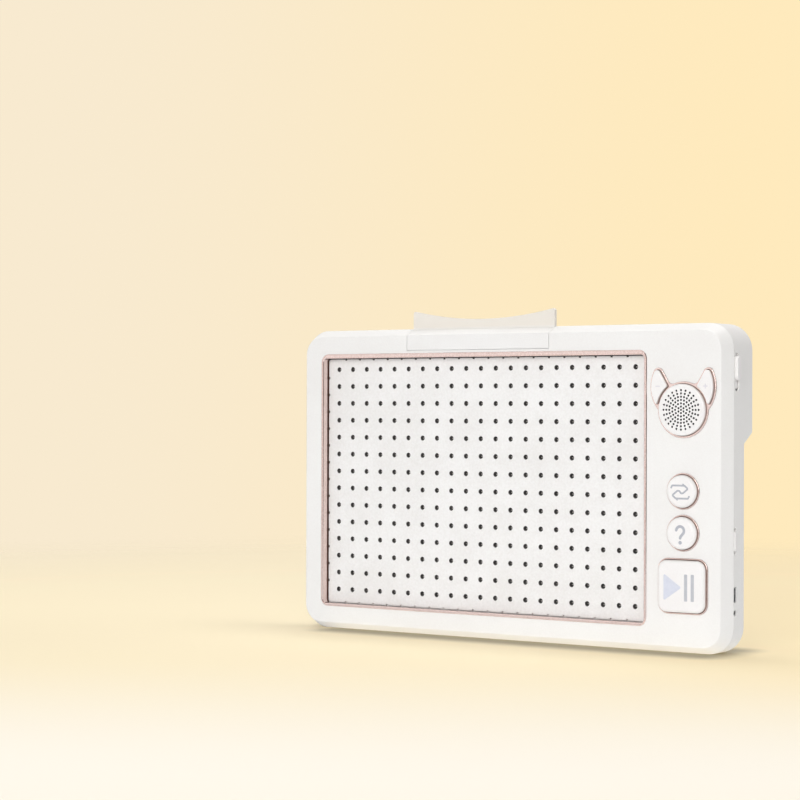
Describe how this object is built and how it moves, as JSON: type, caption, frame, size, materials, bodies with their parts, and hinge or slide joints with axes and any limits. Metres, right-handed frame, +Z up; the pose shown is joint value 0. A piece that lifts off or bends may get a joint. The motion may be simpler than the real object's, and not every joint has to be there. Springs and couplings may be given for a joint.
{
  "type": "phonics learning machine",
  "caption": "Flat upright white learning console with a perforated card-reading panel in a rose-gold frame, sprung page clip, eared speaker with volume keys, marked keys and side switches.",
  "frame": {"origin": "under the middle of the whole box, on the surface that the console stands on", "axes": "+X to the right of the front, +Y from the front to the back, +Z up"},
  "size_m": [0.2836, 0.0356, 0.1864],
  "materials": {
    "shell_white": "satin moulded ABS",
    "panel_white": "fine-grained moulded ABS",
    "rose_gold": "rose-gold plated trim",
    "key_white": "satin moulded ABS",
    "clip_white": "satin moulded ABS",
    "stud_pale": "tinned contact",
    "black_board": "black solder mask",
    "green_board": "green solder mask",
    "black_plastic": "moulded",
    "pale_plastic": "moulded nylon",
    "foam": "closed-cell foam",
    "steel": "plated steel",
    "cell_foil": "aluminium pouch foil",
    "lamp": "clear epoxy",
    "wire_red": "insulated wire",
    "wire_black": "insulated wire",
    "foot_rubber": "moulded rubber"
  },
  "bodies": {
    "housing": {"front_shell": "shell_white", "rear_shell": "shell_white", "touch_panel": "panel_white", "panel_frame": "rose_gold", "speaker_rim": "rose_gold", "repeat_ring": "rose_gold", "question_ring": "rose_gold", "play_ring": "rose_gold", "speaker_grille": "key_white", "contact_studs": "stud_pale", "sensor_board": "black_board", "main_board": "green_board", "main_chip": "black_plastic", "memory_chip": "black_plastic", "usb_tongue": "black_plastic", "speaker_cone": "black_plastic", "sensor_connector": "pale_plastic", "board_connector": "pale_plastic", "battery_socket": "pale_plastic", "ribbon_cable": "pale_plastic", "speaker_gasket": "foam", "battery_tape": "foam", "speaker_basket": "steel", "speaker_magnet": "steel", "tact_switches": "steel", "usb_port": "steel", "power_switch": "steel", "mode_switch": "steel", "clip_pin": "steel", "clip_spring": "steel", "shell_screws": "steel", "board_screws": "steel", "panel_screws": "steel", "battery": "cell_foil", "charge_led": "lamp", "battery_lead": "wire_red", "speaker_lead": "wire_black", "rubber_feet": "foot_rubber"},
    "repeat_key": {"repeat_button": "key_white", "repeat_plunger": "black_plastic"},
    "question_key": {"question_button": "key_white", "question_plunger": "black_plastic"},
    "play_key": {"play_button": "key_white", "play_plunger": "black_plastic"},
    "volume_down_key": {"volume_down_button": "key_white", "volume_down_plunger": "black_plastic"},
    "volume_up_key": {"volume_up_button": "key_white", "volume_up_plunger": "black_plastic"},
    "power_slider": {"power_knob": "key_white"},
    "mode_slider": {"mode_knob": "key_white"},
    "clip": {"page_clip": "clip_white"}
  },
  "joints": [
    {"name": "repeat_press", "type": "slide", "parent": "housing", "child": "repeat_key", "axis": [0, 1, 0], "range_m": [0, 0.0008], "stiffness_N_per_m": 600, "springref_m": -0.0005},
    {"name": "question_press", "type": "slide", "parent": "housing", "child": "question_key", "axis": [0, 1, 0], "range_m": [0, 0.0008], "stiffness_N_per_m": 600, "springref_m": -0.0005},
    {"name": "play_press", "type": "slide", "parent": "housing", "child": "play_key", "axis": [0, 1, 0], "range_m": [0, 0.0008], "stiffness_N_per_m": 600, "springref_m": -0.0005},
    {"name": "volume_down_press", "type": "slide", "parent": "housing", "child": "volume_down_key", "axis": [0, 1, 0], "range_m": [0, 0.0008], "stiffness_N_per_m": 600, "springref_m": -0.0005},
    {"name": "volume_up_press", "type": "slide", "parent": "housing", "child": "volume_up_key", "axis": [0, 1, 0], "range_m": [0, 0.0008], "stiffness_N_per_m": 600, "springref_m": -0.0005},
    {"name": "power_slide", "type": "slide", "parent": "housing", "child": "power_slider", "axis": [0, 0, -1], "range_m": [0, 0.005]},
    {"name": "mode_slide", "type": "slide", "parent": "housing", "child": "mode_slider", "axis": [0, 0, 1], "range_m": [-0.0016, 0.0016]},
    {"name": "clip_hinge", "type": "hinge", "parent": "housing", "child": "clip", "pos_m": [-0.0173, -0.0061, 0.1714], "axis": [-1, 0, 0], "range_deg": [0, 20], "stiffness_Nm_per_rad": 0.25, "springref_deg": -20.05, "deforming": ["clip_spring"]}
  ]
}
